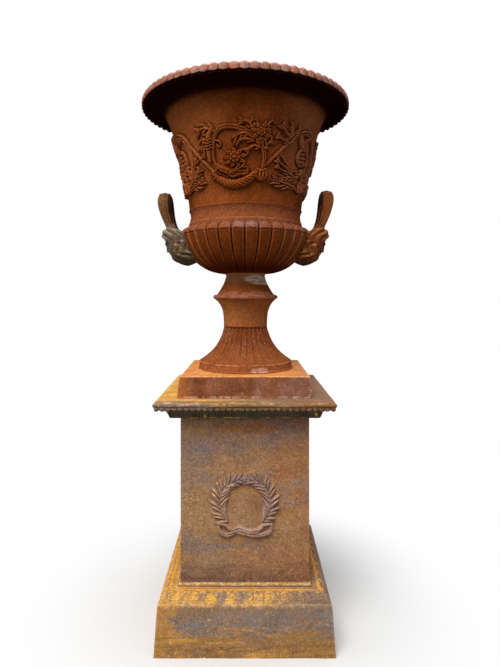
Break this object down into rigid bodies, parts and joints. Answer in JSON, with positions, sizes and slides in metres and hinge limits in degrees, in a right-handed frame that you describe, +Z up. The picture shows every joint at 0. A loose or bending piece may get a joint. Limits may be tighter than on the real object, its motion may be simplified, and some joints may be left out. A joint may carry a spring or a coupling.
{
  "type": "garden vase",
  "caption": "Rusted cast-iron campana garden vase with mask-footed loop handles on a square panelled pedestal.",
  "frame": {"origin": "on the ground, under the middle of the pedestal", "axes": "+Z up, the front face of the pedestal looks along -Y, and the two handles stand at -X and +X"},
  "size_m": [0.699, 0.6992, 1.704],
  "materials": {
    "urn_iron": "old brown-orange rust, fine grain",
    "pedestal_iron": "grey-brown rust with orange and yellow patches",
    "handle_iron_left": "grey-brown weathered iron",
    "handle_iron_right": "bright orange rust",
    "fastener_iron": "dark rust"
  },
  "bodies": {
    "root": {"pedestal_base": "pedestal_iron", "panel_front": "pedestal_iron", "panel_right": "pedestal_iron", "panel_back": "pedestal_iron", "panel_left": "pedestal_iron", "wreath_front": "pedestal_iron", "wreath_right": "pedestal_iron", "wreath_back": "pedestal_iron", "wreath_left": "pedestal_iron", "wreath_rivets": "fastener_iron", "corner_bolts": "fastener_iron", "corner_nuts": "fastener_iron", "pedestal_cap": "pedestal_iron", "pedestal_tie_rod": "fastener_iron", "pedestal_tie_washers": "fastener_iron", "pedestal_tie_nuts": "fastener_iron", "vase_plinth": "urn_iron", "fluted_socle": "urn_iron", "stem_knop": "urn_iron", "gadrooned_bowl": "urn_iron", "handle_left": "handle_iron_left", "handle_right": "handle_iron_right", "handle_bolts": "fastener_iron", "handle_washers": "fastener_iron", "waist_bolts": "fastener_iron", "waist_nuts": "fastener_iron", "vase_body": "urn_iron", "rim_moulding": "urn_iron", "rim_screws": "fastener_iron", "vase_tie_rod": "fastener_iron", "vase_tie_washers": "fastener_iron", "vase_tie_nuts": "fastener_iron"}
  },
  "joints": []
}
